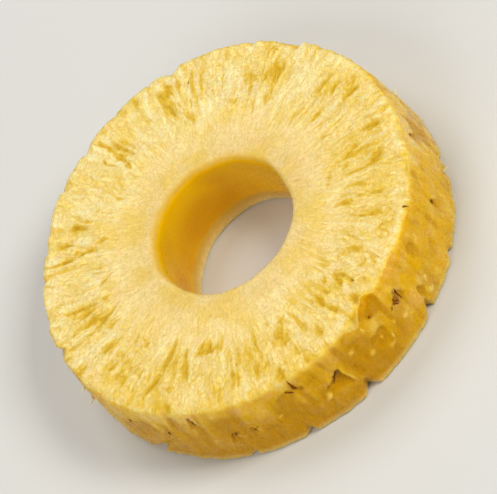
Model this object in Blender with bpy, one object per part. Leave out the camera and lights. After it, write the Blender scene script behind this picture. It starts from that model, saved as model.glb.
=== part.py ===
"""A ring cut across a peeled, cored pineapple, lying flat on its lower cut face.

The ring is one solid. A cross-section with rounded corners is spun about Z, and
each vertex is then moved to the uneven form of the cut fruit: a rim that widens
towards the foot, nicks and pits where the eyes sat, and lens-shaped hollows that
run out from the core across the upper face.

Lengths are in millimetres until the vertices are placed. Angles are in degrees,
counted from +X towards +Y. Heights are counted up from the lower face.
"""
import math

import bmesh
import bpy
from mathutils import Vector, noise

MM = 0.001

# Driving dimensions.
THICKNESS = 19.2
HOLE_RADIUS_TOP = 15.9
HOLE_RADIUS_FOOT = 16.2
RIM_RADIUS_TOP = 44.8
RIM_RADIUS_FOOT = 46.0
RIM_BULGE = 0.35

# Rounding of the cross-section's corners.
RIM_TOP_ROUND = 1.3
RIM_FOOT_ROUND = 0.6
HOLE_TOP_ROUND = 1.7
HOLE_FOOT_ROUND = 0.5

# How finely the surface is divided.
SEGMENTS = 180
CORNER_STEPS = 2
FACE_STEPS = 10
RIM_STEPS = 7
HOLE_STEPS = 2
UNDERSIDE_STEPS = 2

# Slow unevenness of the outline, of the hole and of the upper face.
OUTLINE_WAVE = 0.25
OUTLINE_WAVES_PER_RADIUS = 3.0
HOLE_WAVE = 0.35
HOLE_WAVES_PER_RADIUS = 1.6
FACE_WAVE = 0.22
FACE_WAVE_LENGTH = 11.0

# Full and flat stretches of the rim: angle, out at the top, out at the foot, half width.
RIM_SWELLS = (
    (38, 0.10, 0.10, 25),
    (80, 1.10, 0.80, 62),
    (115, 0.20, 0.30, 14),
    (172, 0.10, -0.30, 18),
    (220, 0.00, 0.35, 14),
    (265, -0.10, 0.40, 60),
    (345, -0.60, -0.60, 25),
    (3, 0.00, -0.40, 9),
)

# The same for the cored hole, where out is away from the middle.
HOLE_SWELLS = (
    (80, 0.00, -0.35, 22),
    (118, 0.45, -0.80, 55),
    (284, 0.50, 0.10, 24),
    (318, 0.60, 0.30, 30),
)

# Eye nicks in the foot of the rim: angle, depth, width before and after in degrees, how far
# up they reach, and how many degrees they lean in each millimetre of height.
FOOT_NICKS = (
    (14, 1.3, 2.6, 1.0, 3.4, 0.0),
    (37, 1.8, 1.2, 3.4, 4.4, 0.0),
    (58, 1.1, 1.8, 1.6, 3.0, 0.0),
    (83, 1.7, 3.2, 1.0, 4.0, 0.0),
    (104, 1.3, 1.4, 2.6, 3.2, 0.0),
    (128, 2.0, 2.8, 2.4, 4.6, 0.0),
    (150, 1.2, 1.6, 1.4, 3.0, 0.0),
    (173, 1.5, 1.0, 3.2, 3.8, 0.0),
    (198.0, 2.2, 4.0, 1.6, 9.0, 1.3),
    (229.2, 1.3, 2.4, 1.1, 3.2, 0.0),
    (246.0, 1.9, 2.2, 2.2, 3.6, 0.0),
    (265.8, 2.9, 2.8, 3.0, 5.2, 0.0),
    (292.8, 2.4, 4.0, 0.7, 5.0, 0.0),
    (309, 1.8, 3.0, 1.2, 2.8, 0.0),
    (325, 1.0, 1.3, 1.1, 2.4, 0.0),
    (333.6, 1.25, 1.5, 1.5, 4.0, 0.0),
    (337.2, 3.3, 2.4, 3.0, 5.5, 0.0),
)

# Eye nicks in the upper edge: the same, reaching and leaning down from the face.
TOP_NICKS = (
    (27, 1.9, 1.7, 10.0, 4.0, 0.0),
    (42.0, 1.4, 1.6, 2.2, 2.5, 0.0),
    (68.6, 1.9, 3.2, 4.0, 4.0, 0.0),
    (76.0, 1.2, 1.2, 1.0, 2.5, 0.0),
    (88.5, 0.6, 1.6, 1.4, 2.5, 0.0),
    (101.5, 1.2, 4.5, 2.4, 3.0, 0.0),
    (114.0, 1.1, 3.2, 1.0, 2.5, 0.0),
    (126.5, 0.6, 2.0, 2.4, 2.5, 0.0),
    (134, 1.0, 4.6, 1.0, 3.5, 0.0),
    (142.6, 1.2, 2.2, 2.0, 3.0, 0.0),
    (155, 0.5, 0.8, 3.6, 2.0, 0.0),
    (168.6, 1.5, 2.4, 3.0, 9.0, -1.3),
    (189, 0.5, 2.2, 1.4, 2.0, 0.0),
    (212, 1.1, 2.8, 1.6, 3.5, 0.0),
    (250.5, 0.8, 2.2, 1.4, 3.0, 0.0),
    (281.2, 0.6, 3.4, 3.6, 3.0, 0.0),
    (309.8, 0.5, 1.2, 0.8, 2.0, 0.0),
    (321, 0.6, 1.8, 1.4, 3.0, 0.0),
    (334, 0.7, 3.0, 2.4, 3.5, 0.0),
    (347, 0.4, 2.0, 1.2, 2.0, 0.0),
)

# Pits of eyes cut through on the wall: angle, height, half width, half height, depth.
WALL_PITS = (
    (20, 10.5, 1.6, 2.6, 0.7),
    (46, 8.0, 1.6, 2.4, 0.6),
    (75, 10.0, 1.6, 2.6, 0.7),
    (99, 8.5, 1.6, 2.4, 0.6),
    (121, 10.8, 1.6, 2.4, 0.7),
    (145, 8.8, 1.6, 2.6, 0.6),
    (174, 10.2, 1.6, 2.4, 0.7),
    (196, 10.5, 1.5, 2.2, 0.6),
    (219, 13.6, 1.5, 2.4, 0.6),
    (234, 8.0, 1.5, 2.0, 0.6),
    (261.2, 8.2, 1.7, 2.8, 0.9),
    (280.8, 15.6, 3.4, 2.6, 1.3),
    (288, 11.0, 1.6, 2.4, 0.7),
    (318, 8.0, 1.5, 2.2, 0.6),
    (337, 13.0, 1.5, 2.0, 0.4),
)

# Hollows of the upper face, drawn out from the core: angle, radius, half length, half width, depth.
FACE_HOLLOWS = (
    (5, 38, 3.4, 1.4, 0.40),
    (29.5, 36, 4.4, 1.8, 0.60),
    (40.5, 36, 3.6, 1.5, 0.50),
    (73.5, 36.5, 5.2, 1.7, 0.75),
    (93, 38, 3.0, 1.5, 0.50),
    (102, 37, 3.4, 1.5, 0.45),
    (126.5, 36.4, 3.8, 1.6, 0.65),
    (137.5, 36, 5.0, 1.6, 0.60),
    (159.5, 35, 5.0, 1.6, 0.60),
    (168.5, 33, 4.6, 1.7, 0.70),
    (205.5, 36, 5.4, 1.6, 0.60),
    (212, 43, 3.6, 1.9, 0.60),
    (215.5, 32, 4.6, 1.5, 0.45),
    (223, 29, 2.6, 2.0, 0.40),
    (229, 22.2, 1.8, 2.2, 0.35),
    (246, 38, 4.0, 2.0, 0.40),
    (255, 35, 3.0, 1.8, 0.50),
    (274.5, 35.5, 4.4, 1.6, 0.50),
    (280, 42, 3.6, 1.5, 0.50),
    (285, 36, 3.6, 1.6, 0.55),
    (316.5, 36.6, 2.8, 1.5, 0.45),
    (315, 30, 3.0, 1.5, 0.45),
    (330, 36.5, 3.2, 1.8, 0.60),
    (342, 37.5, 3.2, 1.7, 0.45),
    (329, 25.8, 1.8, 1.9, 0.35),
)

FLESH_COLOUR = (0.89, 0.62, 0.17, 1.0)
FLESH_ROUGHNESS = 0.32


def blend(low, high, share):
    """The value a share of the way from low to high."""
    return low + (high - low) * share


def angle_between(first, second):
    """Signed smallest turn from second to first, in degrees."""
    return (first - second + 180.0) % 360.0 - 180.0


def bump(distance):
    """One at distance 0, falling smoothly to nothing at distance 1."""
    return max(0.0, 1.0 - distance * distance) ** 2


def corner(centre_radius, centre_height, rounding, start, end):
    """Points of a rounded corner, as (radius, height), from one direction to another."""
    points = []
    for step in range(CORNER_STEPS + 1):
        turn = math.radians(blend(start, end, step / CORNER_STEPS))
        radius = centre_radius + rounding * math.cos(turn)
        points.append((radius, centre_height + rounding * math.sin(turn)))
    return points


def between(start, end, steps):
    """Points strictly between two corners of the cross-section."""
    return [
        (blend(start[0], end[0], step / steps), blend(start[1], end[1], step / steps))
        for step in range(1, steps)
    ]


def cross_section():
    """The closed outline of the cut, counter-clockwise seen with the hole on the left."""
    hole = HOLE_RADIUS_FOOT
    rim = RIM_RADIUS_FOOT
    top = THICKNESS
    corners = (
        corner(rim - RIM_FOOT_ROUND, RIM_FOOT_ROUND, RIM_FOOT_ROUND, -90, 0),
        corner(rim - RIM_TOP_ROUND, top - RIM_TOP_ROUND, RIM_TOP_ROUND, 0, 90),
        corner(hole + HOLE_TOP_ROUND, top - HOLE_TOP_ROUND, HOLE_TOP_ROUND, 90, 180),
        corner(hole + HOLE_FOOT_ROUND, HOLE_FOOT_ROUND, HOLE_FOOT_ROUND, 180, 270),
    )
    steps = (RIM_STEPS, FACE_STEPS, HOLE_STEPS, UNDERSIDE_STEPS)
    outline = []
    for index, points in enumerate(corners):
        following = corners[(index + 1) % len(corners)]
        outline += points
        outline += between(points[-1], following[0], steps[index])
    return outline


def nick_depth(nicks, angle, from_edge):
    """How far the V-shaped eye nicks cut into the rim at a distance from their edge."""
    depth = 0.0
    for place, deepest, before, after, reach, lean in nicks:
        opening = 1.0 - from_edge / reach
        if opening <= 0.0:
            continue
        turn = angle_between(angle, place + lean * from_edge)
        width = (before if turn < 0.0 else after) * math.sqrt(opening)
        depth = max(depth, deepest * opening * (1.0 - abs(turn) / width))
    return depth


def pit_depth(angle, height):
    """How far the pits of the cut eyes go into the wall."""
    depth = 0.0
    for place, middle, half_width, half_height, deepest in WALL_PITS:
        across = math.radians(angle_between(angle, place)) * RIM_RADIUS_TOP / half_width
        along = (height - middle) / half_height
        depth = max(depth, deepest * bump(math.hypot(across, along)))
    return depth


def around(angle, reach):
    """A place for noise on a circle of the given reach."""
    turn = math.radians(angle)
    return Vector((math.cos(turn), math.sin(turn), 0.0)) * reach


def swelling(swells, angle, share):
    """Full and flat stretches at an angle, at a share of the way from the foot to the top."""
    total = 0.0
    for place, top, foot, half_width in swells:
        total += blend(foot, top, share) * bump(angle_between(angle, place) / half_width)
    return total


def rim_radius(angle, height):
    """The outer radius at an angle and a height."""
    share = height / THICKNESS
    radius = blend(RIM_RADIUS_FOOT, RIM_RADIUS_TOP, share)
    radius += RIM_BULGE * math.sin(math.pi * share)
    radius += OUTLINE_WAVE * noise.noise(around(angle, OUTLINE_WAVES_PER_RADIUS))
    radius += swelling(RIM_SWELLS, angle, share)
    radius -= nick_depth(FOOT_NICKS, angle, height)
    radius -= nick_depth(TOP_NICKS, angle, THICKNESS - height)
    return radius - pit_depth(angle, height)


def hole_radius(angle, height):
    """The radius of the cored hole, a little wider at the foot and not quite round."""
    share = height / THICKNESS
    radius = blend(HOLE_RADIUS_FOOT, HOLE_RADIUS_TOP, share)
    radius += HOLE_WAVE * noise.noise(around(angle, HOLE_WAVES_PER_RADIUS))
    return radius + swelling(HOLE_SWELLS, angle, share)


def face_height(angle, radius):
    """The height of the upper face, with its slow waves and its hollows."""
    place = around(angle, radius / FACE_WAVE_LENGTH)
    dip = 0.0
    for middle, distance, half_length, half_width, deepest in FACE_HOLLOWS:
        across = math.radians(angle_between(angle, middle)) * radius / half_width
        along = (radius - distance) / half_length
        dip = max(dip, deepest * bump(math.hypot(across, along)))
    return THICKNESS + FACE_WAVE * noise.noise(place) - dip


def shaped(point):
    """Where a vertex of the plain spun ring goes on the cut fruit."""
    radius = point.to_2d().length
    height = point.z
    angle = math.degrees(math.atan2(point.y, point.x)) % 360.0
    share = (radius - HOLE_RADIUS_FOOT) / (RIM_RADIUS_FOOT - HOLE_RADIUS_FOOT)
    new_radius = blend(hole_radius(angle, height), rim_radius(angle, height), share)
    new_height = height * face_height(angle, new_radius) / THICKNESS
    turn = math.radians(angle)
    return Vector((new_radius * math.cos(turn), new_radius * math.sin(turn), new_height))


def spun_ring(mesh):
    """Spin the cross-section all the way round Z."""
    outline = [mesh.verts.new((radius, 0.0, height)) for radius, height in cross_section()]
    edges = [
        mesh.edges.new((vertex, outline[(index + 1) % len(outline)]))
        for index, vertex in enumerate(outline)
    ]
    bmesh.ops.spin(
        mesh,
        geom=outline + edges,
        cent=(0.0, 0.0, 0.0),
        axis=(0.0, 0.0, 1.0),
        angle=math.tau,
        steps=SEGMENTS,
        use_merge=True,
    )


def centred(mesh):
    """Slide the ring so that the middle of its box is over the origin."""
    across = [vertex.co.x for vertex in mesh.verts]
    along = [vertex.co.y for vertex in mesh.verts]
    middle = Vector((max(across) + min(across), max(along) + min(along), 0.0)) / 2.0
    bmesh.ops.translate(mesh, verts=mesh.verts, vec=-middle)


def flesh_material():
    """Moist yellow fruit flesh."""
    material = bpy.data.materials.new("pineapple_flesh")
    material.use_nodes = True
    shader = material.node_tree.nodes["Principled BSDF"]
    shader.inputs["Base Color"].default_value = FLESH_COLOUR
    shader.inputs["Roughness"].default_value = FLESH_ROUGHNESS
    shader.inputs["Metallic"].default_value = 0.0
    return material


def pineapple_ring():
    """The whole ring, as one closed solid in metres."""
    mesh = bmesh.new()
    spun_ring(mesh)
    for vertex in mesh.verts:
        vertex.co = shaped(vertex.co)
    centred(mesh)
    bmesh.ops.scale(mesh, verts=mesh.verts, vec=(MM, MM, MM))
    bmesh.ops.recalc_face_normals(mesh, faces=mesh.faces)
    data = bpy.data.meshes.new("pineapple_ring")
    mesh.to_mesh(data)
    mesh.free()
    data.shade_smooth()
    data.materials.append(flesh_material())
    ring = bpy.data.objects.new("pineapple_ring", data)
    bpy.context.scene.collection.objects.link(ring)
    return ring


def main():
    for old in list(bpy.data.objects):
        bpy.data.objects.remove(old)
    pineapple_ring()


main()
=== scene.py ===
"""The looks of a fresh ring of peeled, cored pineapple lying on its lower cut face.

The ring is spun from a rounded cross-section, moved to the same uneven form as the solid
in the frame, and given the finer relief of cut fruit: creases and slots that run out from
the core, and on the wall the tent-shaped scars, hollows and lumps that peeling leaves.
Shares of colour are kept on the mesh for the material to read. Brown fibres in the scars
and a few pale spines are pieces of their own.

Lengths are in millimetres until the vertices are placed, and angles in degrees counted
from +X towards +Y. Heights count up from the lower face.
"""
import math
import random

import bmesh
import bpy
import numpy as np
from mathutils import Matrix, Vector, noise
from mathutils.bvhtree import BVHTree


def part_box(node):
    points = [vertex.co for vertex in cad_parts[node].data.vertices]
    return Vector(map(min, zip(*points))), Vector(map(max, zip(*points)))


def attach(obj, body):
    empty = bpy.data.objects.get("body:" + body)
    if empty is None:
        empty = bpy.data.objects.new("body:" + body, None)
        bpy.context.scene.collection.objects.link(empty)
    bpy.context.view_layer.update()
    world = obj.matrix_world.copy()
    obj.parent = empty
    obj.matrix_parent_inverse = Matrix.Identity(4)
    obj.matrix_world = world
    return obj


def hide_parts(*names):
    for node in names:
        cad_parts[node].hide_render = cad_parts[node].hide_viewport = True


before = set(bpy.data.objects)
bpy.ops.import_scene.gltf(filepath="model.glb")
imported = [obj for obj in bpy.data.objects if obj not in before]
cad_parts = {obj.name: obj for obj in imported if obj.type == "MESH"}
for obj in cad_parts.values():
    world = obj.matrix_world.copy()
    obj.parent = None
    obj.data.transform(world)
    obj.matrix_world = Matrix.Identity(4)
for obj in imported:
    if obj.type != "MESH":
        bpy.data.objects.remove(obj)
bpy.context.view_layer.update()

MM = 0.001
WARM_RANGE = 1.5  # as warm as the flesh gets; the mesh keeps a share of it
NODE = "pineapple_ring"
low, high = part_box(NODE)

# Driving sizes, worked out from the solid in the frame.
RIM_RADIUS_FOOT = 0.9975 * (high.x - low.x + high.y - low.y) / 4 / MM
RIM_RADIUS_TOP = 0.973 * RIM_RADIUS_FOOT
HOLE_RADIUS_FOOT = 0.352 * RIM_RADIUS_FOOT
HOLE_RADIUS_TOP = 0.3465 * RIM_RADIUS_FOOT
THICKNESS = 0.992 * (high.z - low.z) / MM
RIM_BULGE = 0.35

# Rounding of the cross-section's corners.
RIM_TOP_ROUND = 1.3
RIM_FOOT_ROUND = 0.6
HOLE_TOP_ROUND = 1.7
HOLE_FOOT_ROUND = 0.5

# How finely the surface is divided; the upper face has two bands, parted at a radius.
SEGMENTS = 840
CORNER_STEPS = 4
RIM_STEPS = 26
OUTER_FACE_STEPS = 44
INNER_FACE_STEPS = 18
HOLE_STEPS = 9
UNDERSIDE_STEPS = 6
FACE_DIVIDE = 29

# Slow unevenness of the outline, of the hole and of the faces.
OUTLINE_WAVE = 0.25
OUTLINE_WAVES_PER_RADIUS = 3
COARSE_FRAY = 0.16
FINE_FRAY = 0.128
HOLE_WAVE = 0.35
HOLE_WAVES_PER_RADIUS = 1.6
HOLE_RIPPLE = 0.15
FACE_WAVE = 0.22
FACE_WAVE_LENGTH = 11

# How many small marks are scattered over the faces and the wall.
SMALL_SLOTS = 70
DASHES = 600
RIDGES = 300
DOTS = 130
BEADS = 260
SMALL_VESSELS = 26

# How far soft noise bends the marks of the wall and of the faces.
WALL_BEND = 0.35
FACE_BEND = 0.9

# How far past its own edge a mark is looked for, as the layout is bent: an oval's in
# millimetres and a slot's in degrees.
STAMP_MARGIN = 1.5
SLOT_MARGIN = 6

# The golden band under the wall's upper edge: its middle, and how far it reaches each way.
GOLD_BAND_HEIGHT = 15.6
GOLD_BAND_REACH = 3.2

# A vertex that faces a side less than this is left out of that side's relief.
LEAST_WEIGHT = 0.02

# Fibres and spines, and how far out the rays start that find their places on the ring.
RAY_START = 60
STRAND_SIDES = 5
STRAND_TAPER = 0.88
TAPER_POWER = 1.3
SPINE_ROOT_DEPTH = 0.4
SPINE_CURL = 0.3
SPINE_THICKNESS = 1

# Full and flat stretches of the rim: angle, out at the top, out at the foot, half width.
RIM_SWELLS = (
    (38, 0.1, 0.1, 25), (80, 1.1, 0.8, 62), (115, 0.2, 0.3, 14), (172, 0.1, -0.3, 18),
    (220, 0, 0.35, 14), (265, -0.1, 0.4, 60), (345, -0.6, -0.6, 25), (3, 0, -0.4, 9),
)

# The same for the cored hole, where out is away from the middle.
HOLE_SWELLS = (
    (80, 0, -0.35, 22), (118, 0.45, -0.8, 55), (284, 0.5, 0.1, 24), (318, 0.6, 0.3, 30),
)

# Eye nicks in the foot of the rim: angle, depth, width before and after in degrees, how far
# up they reach, and how many degrees they lean in each millimetre of height.
FOOT_NICKS = (
    (14, 1.3, 2.6, 1, 3.4, 0), (37, 1.8, 1.2, 3.4, 4.4, 0), (58, 1.1, 1.8, 1.6, 3, 0),
    (83, 1.7, 3.2, 1, 4, 0), (104, 1.3, 1.4, 2.6, 3.2, 0), (128, 2, 2.8, 2.4, 4.6, 0),
    (150, 1.2, 1.6, 1.4, 3, 0), (173, 1.5, 1, 3.2, 3.8, 0), (198, 2.2, 4, 1.6, 9, 1.3),
    (229.2, 1.3, 2.4, 1.1, 3.2, 0), (246, 1.9, 2.2, 2.2, 3.6, 0), (265.8, 2.9, 2.8, 3, 5.2, 0),
    (292.8, 2.4, 4, 0.7, 5, 0), (309, 1.8, 3, 1.2, 2.8, 0), (325, 1, 1.3, 1.1, 2.4, 0),
    (333.6, 1.25, 1.5, 1.5, 4, 0), (337.2, 3.3, 2.4, 3, 5.5, 0),
)

# Eye nicks in the upper edge: the same, reaching and leaning down from the face.
TOP_NICKS = (
    (27, 1.9, 1.7, 10, 4, 0), (42, 1.4, 1.6, 2.2, 2.5, 0), (68.6, 1.9, 3.2, 4, 4, 0),
    (76, 1.2, 1.2, 1, 2.5, 0), (88.5, 0.6, 1.6, 1.4, 2.5, 0), (101.5, 1.2, 4.5, 2.4, 3, 0),
    (114, 1.1, 3.2, 1, 2.5, 0), (126.5, 0.6, 2, 2.4, 2.5, 0), (134, 1, 4.6, 1, 3.5, 0),
    (142.6, 1.2, 2.2, 2, 3, 0), (155, 0.5, 0.8, 3.6, 2, 0), (168.6, 1.5, 2.4, 3, 9, -1.3),
    (189, 0.5, 2.2, 1.4, 2, 0), (212, 1.1, 2.8, 1.6, 3.5, 0), (250.5, 0.8, 2.2, 1.4, 3, 0),
    (281.2, 0.6, 3.4, 3.6, 3, 0), (309.8, 0.5, 1.2, 0.8, 2, 0), (321, 0.6, 1.8, 1.4, 3, 0),
    (334, 0.7, 3, 2.4, 3.5, 0), (347, 0.4, 2, 1.2, 2, 0),
)

# Where the gold of the wall reaches further up the edge, or not so far: angle, how much
# further, half width.
EDGE_SHIFTS = (
    (281, 1.7, 4), (274.2, -2, 3.6), (249, -1.2, 5), (300, 0.5, 12),
)

# Slots where the upper cut crosses an eye: angle and radius at the wide end, then at the
# narrow end, half width, depth, and which side is steep (1 the larger angle, 0 neither).
FACE_SLOTS = (
    (5.4, 40.3, 4, 34.8, 0.55, 0.35, 0), (10.2, 37.8, 9.4, 34.2, 0.3, 0.25, 0),
    (28.2, 40.6, 31.2, 31.8, 0.9, 0.65, -1), (34, 38.6, 35.2, 32.6, 0.45, 0.25, 0),
    (40.8, 38, 39.2, 31, 0.6, 0.6, 1), (64.2, 35.6, 66.2, 32, 0.35, 0.35, 0),
    (74.6, 41.4, 73.9, 35.5, 0.7, 0.65, 1), (73.6, 37.8, 71.4, 30.8, 0.85, 0.8, 0),
    (94.4, 40.6, 93.2, 31.6, 0.65, 0.5, -1), (98.4, 36.4, 98, 33.6, 0.3, 0.2, 0),
    (101.3, 39.4, 103.1, 37, 0.4, 0.35, 1), (103, 37.6, 101, 32.8, 0.35, 0.35, 1),
    (126.6, 39.6, 126, 33.4, 0.85, 0.7, -1), (131.6, 41.6, 132.2, 37.6, 0.5, 0.35, 0),
    (138.8, 40.2, 137.2, 35.2, 0.75, 0.6, 1), (137.3, 36, 134.9, 30.4, 0.6, 0.5, 1),
    (158.6, 40.6, 158.2, 36, 0.5, 0.4, -1), (158.6, 36.8, 160.6, 31, 0.8, 0.6, -1),
    (170, 36.2, 166.2, 27.5, 0.95, 0.75, 1), (204.8, 40.4, 205.8, 34.6, 0.6, 0.55, -1),
    (205.9, 35.4, 207.6, 26.6, 0.75, 0.5, -1), (213.6, 47, 212.4, 41.2, 1.3, 0.7, 0),
    (218.2, 38, 215, 27.8, 0.55, 0.45, 1), (220.2, 31.6, 222.2, 27, 0.6, 0.35, -1),
    (226.8, 31.2, 224, 27, 0.5, 0.4, 1), (228.4, 41.8, 227.8, 36.8, 0.3, 0.25, 0),
    (235, 41.8, 234.6, 30.4, 0.32, 0.25, 0), (243.8, 41.3, 244.2, 36.4, 0.5, 0.35, 0),
    (246.3, 37.6, 245.7, 29, 0.35, 0.3, 0), (251.4, 46, 249.8, 40.2, 0.8, 0.5, 0),
    (274.8, 40.2, 273.2, 36.2, 0.45, 0.35, -1), (273.4, 36.8, 275.2, 31.2, 0.6, 0.45, 0),
    (279.4, 45.5, 280.8, 38.8, 0.75, 0.6, -1), (285.3, 39, 285.6, 36.2, 0.45, 0.5, 1),
    (285.7, 36.8, 283.4, 32.8, 0.6, 0.5, 1), (281.4, 37.2, 283.3, 33.4, 0.5, 0.4, 0),
    (297.2, 37.6, 296.4, 33.8, 0.35, 0.3, 0), (308.6, 40.6, 308.9, 30, 0.3, 0.25, 0),
    (316, 38.8, 317.3, 34.5, 0.7, 0.5, -1), (314.2, 31.9, 315, 26, 0.6, 0.45, 0),
    (332, 39.2, 328.4, 34.6, 0.9, 0.65, 0), (341.4, 40.6, 343.4, 35.4, 0.6, 0.45, 0),
    (339, 34.6, 336, 30, 0.45, 0.3, 0), (358.8, 41.2, 358.2, 36, 0.6, 0.35, 0),
)

# Warm patches of the upper face: angle, radius, half width, half length, lean, how warm, dip.
FACE_PATCHES = (
    (3, 41, 3, 3.4, 0, 0.4, 0.1), (12, 31, 1.6, 1.8, 20, 0.35, 0.1),
    (24.5, 23.3, 0.9, 1.1, 90, 0.35, 0.08), (33.6, 42, 1.8, 1.9, 0, 1, 0.25),
    (34, 37.5, 2.6, 3.4, 0, 0.15, 0.06), (40, 29.4, 1.2, 2.4, 0, 0.4, 0.1),
    (44, 30, 1.6, 1.8, 0, 0.3, 0.08), (55, 38, 2, 2.6, 0, 0.35, 0.1),
    (57, 24.5, 1, 2, 90, 0.3, 0.08), (68.5, 40, 2.4, 3.8, 0, 0.55, 0.18),
    (82, 28.2, 1.4, 1.8, 30, 0.4, 0.1), (98, 38.5, 3.2, 4, 0, 0.25, 0.06),
    (107, 31.5, 1.2, 2, 60, 0.4, 0.1), (117.5, 41, 1.6, 2.4, 60, 0.4, 0.1),
    (131.8, 40, 1.9, 3, 0, 0.55, 0.16), (143.5, 30.2, 1.1, 3, 80, 0.35, 0.08),
    (164.5, 42.4, 2.6, 2.8, 0, 0.5, 0.16), (163, 37, 3.6, 4, 0, 0.3, 0.05),
    (178.5, 43.4, 1.7, 2.8, 0, 0.6, 0.15), (186.5, 41, 1.3, 2.2, 90, 0.55, 0.12),
    (188, 35.6, 1.6, 4, 90, 0.45, 0.12), (196, 36.8, 2, 2.8, 70, 0.5, 0.12),
    (194, 29.6, 0.9, 3.2, 52, 0.7, 0.22), (206.5, 37, 2.6, 4.2, 0, 0.4, 0.12),
    (212.8, 44, 1.9, 3.4, 0, 0.85, 0.25), (212, 38.8, 1, 1.7, 90, 0.7, 0.12),
    (222.8, 29.6, 2.2, 2.6, 0, 0.45, 0.2), (228.8, 22, 0.9, 3.2, 90, 0.8, 0.25),
    (242.5, 34.2, 1.9, 2.6, 0, 0.45, 0.1), (246.5, 39.4, 2.4, 3, 30, 0.45, 0.12),
    (250.5, 42.6, 1.6, 2.6, 0, 0.55, 0.15), (255, 35.2, 2.2, 2.6, 0, 0.9, 0.25),
    (258.3, 31.6, 1.2, 2, 60, 0.55, 0.12), (257, 22.2, 0.9, 2, 80, 0.4, 0.1),
    (274.5, 34.8, 1.4, 2.8, 0, 0.4, 0.1), (280, 42, 1.6, 3.8, 0, 0.65, 0.2),
    (284, 35.4, 2.6, 3.2, 0, 0.35, 0.1), (293.5, 33.6, 1.4, 1.8, 60, 0.4, 0.1),
    (305, 39.4, 1, 3, 80, 0.5, 0.12), (309.5, 41.4, 2.2, 2.8, 0, 0.5, 0.12),
    (315, 30.3, 1.3, 2.4, 0, 0.5, 0.12), (321, 45, 1.6, 2.2, 0, 0.6, 0.15),
    (330, 37.2, 2.2, 3, 20, 0.7, 0.2), (329, 25.8, 0.8, 3, 60, 0.85, 0.22),
    (343, 24.2, 0.7, 2.5, 66, 0.6, 0.12), (341.5, 38.6, 2, 3, 0, 0.55, 0.15),
    (336.5, 32, 1.3, 2.6, -20, 0.4, 0.1), (358.8, 39.4, 1.6, 3, 0, 0.45, 0.12),
    (338, 29, 9, 9, 0, 0.28, 0), (334, 37, 6, 4, 0, 0.22, 0), (142, 20.5, 4, 3, 0, 0.35, 0),
    (56, 36, 5, 5, 0, 0.25, 0), (195, 36, 5, 4, 0, 0.3, 0), (255, 34, 5, 4, 0, 0.22, 0),
    (251, 20.5, 3.5, 2.5, 0, 0.3, 0), (134, 38, 5, 4, 0, 0.22, 0),
    (160, 42.5, 6, 2.5, 0, 0.28, 0), (312, 40, 6, 4, 0, 0.22, 0), (35, 42, 3, 2.5, 0, 0.22, 0),
)

# Paler patches of the upper face: angle, radius, half width, half length, how pale.
# The narrow bands along the rim, at a radius of 43 to 43.5, are a painted glow of the edge.
FACE_LIGHTS = (
    (14, 38, 5, 4, 0.25), (25, 31, 5, 5, 0.4), (62, 30, 5, 5, 0.6), (75, 31, 4, 4, 0.35),
    (85, 41, 4, 3, 0.45), (103, 33, 5, 5, 0.25), (115, 28, 5, 4, 0.45), (153, 31, 3, 3, 0.3),
    (173, 34, 4, 4, 0.35), (204, 31, 4, 4, 0.35), (222, 30, 3, 3, 0.4), (223, 40, 4, 3, 0.3),
    (234, 36, 5, 4, 0.35), (264, 37, 5, 5, 0.3), (270, 43, 7, 2.5, 0.45), (283, 31, 5, 4, 0.35),
    (295, 39, 4, 3, 0.3), (306, 43.5, 6, 2, 0.35), (333, 43.5, 6, 2, 0.35),
    (10, 43.5, 7, 1.8, 0.3),
)

# Cut ends of vessels on the upper face: angle, radius, size.
VESSELS = (
    (54.2, 28, 1), (62.5, 26, 0.7), (79.6, 29, 0.8), (119, 38, 0.7), (207, 24, 0.6),
    (248.6, 32.6, 0.8), (264.6, 29, 0.95), (263, 37.6, 0.7),
)

# Tent-shaped scars of the wall: angle and height of the tip, then of the open foot, half
# width at the foot and depth under the tip.
WALL_TENTS = (
    (21, 13.3, 22, 8.9, 2, 0.9), (46, 10.7, 47, 6.7, 1.8, 0.8), (75.2, 13.3, 74.5, 9.1, 2, 0.9),
    (99.6, 10.3, 99, 6.5, 1.6, 0.8), (121, 13.7, 122, 9.5, 2, 0.9),
    (145, 10.9, 145.4, 6.9, 1.8, 0.8), (174, 13.1, 173, 9.1, 1.8, 0.8),
    (195.8, 12.9, 196.4, 10.1, 1.2, 0.6), (207.4, 10.3, 207.6, 8.3, 0.9, 0.4),
    (218.8, 16.6, 219.2, 13.3, 1.4, 0.6), (227.6, 9.6, 228.3, 6.9, 1.4, 0.6),
    (233.8, 9.9, 234.4, 7.9, 1, 0.4), (262.2, 11.8, 259.9, 7.6, 3.5, 1.2),
    (287.6, 14.2, 288.8, 10.6, 1.6, 0.4), (317.7, 10.5, 318.2, 8.3, 0.9, 0.4),
    (336.8, 15.1, 337.2, 12.3, 1.3, 0.5), (352.4, 11.7, 353, 8.1, 1.6, 0.7),
)

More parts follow.
